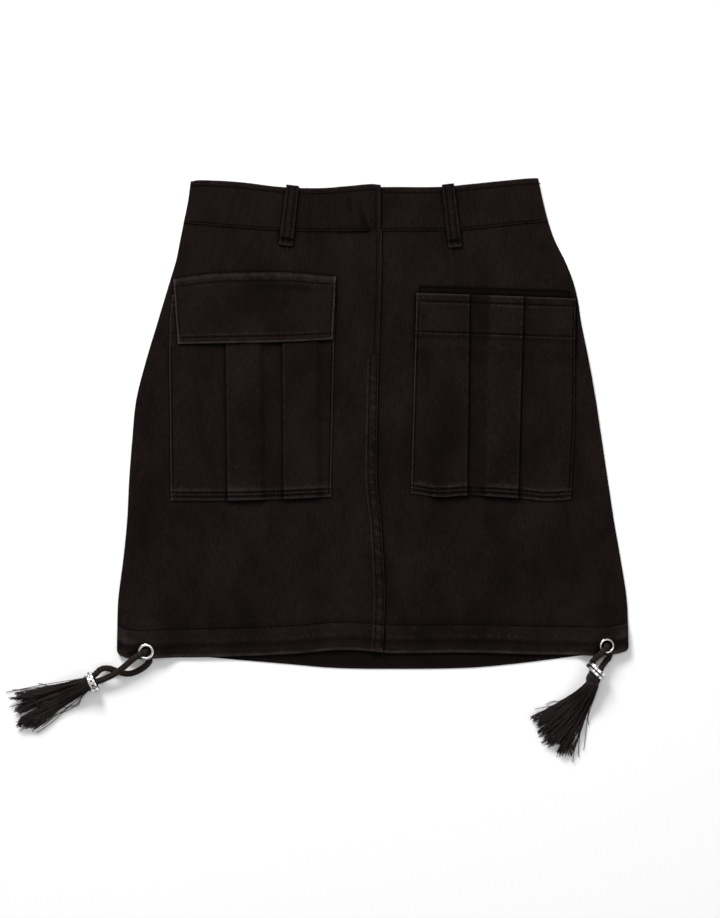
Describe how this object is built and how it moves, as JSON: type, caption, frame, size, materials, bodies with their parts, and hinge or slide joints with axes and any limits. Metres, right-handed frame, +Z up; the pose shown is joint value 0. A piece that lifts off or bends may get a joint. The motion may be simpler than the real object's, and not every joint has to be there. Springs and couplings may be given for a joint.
{
  "type": "denim mini skirt",
  "caption": "Black denim mini skirt lying flat, with a pleated patch pocket at each side, belt loops, hem eyelets and tasselled cords.",
  "frame": {"origin": "under the middle of the skirt's box, on the surface it lies on, cords, beads and tassels left out", "axes": "+Z up from the surface, +Y from hem to waist, +X to the viewer's right, front upwards"},
  "size_m": [0.5905, 0.5464, 0.0203],
  "materials": {
    "denim": "washed black twill, matt, paler along its edges",
    "eyelet_metal": "polished nickel",
    "bead_metal": "polished silver colour",
    "cord": "braided black cotton, matt",
    "tassel_thread": "black viscose thread with a soft shine"
  },
  "bodies": {
    "root": {"front_panel_left": "denim", "front_panel_right": "denim", "back_panel_left": "denim", "back_panel_right": "denim", "waistband_front_left": "denim", "waistband_front_right": "denim", "waistband_back": "denim", "belt_loop_left": "denim", "belt_loop_right": "denim", "pocket_left": "denim", "pocket_right": "denim", "pocket_flap_left": "denim", "pocket_flap_right": "denim", "eyelet_left": "eyelet_metal", "eyelet_right": "eyelet_metal", "ring_bead_left": "bead_metal", "ring_bead_right": "bead_metal", "cord_left": "cord", "cord_right": "cord", "tassel_left": "tassel_thread", "tassel_right": "tassel_thread"}
  },
  "joints": []
}
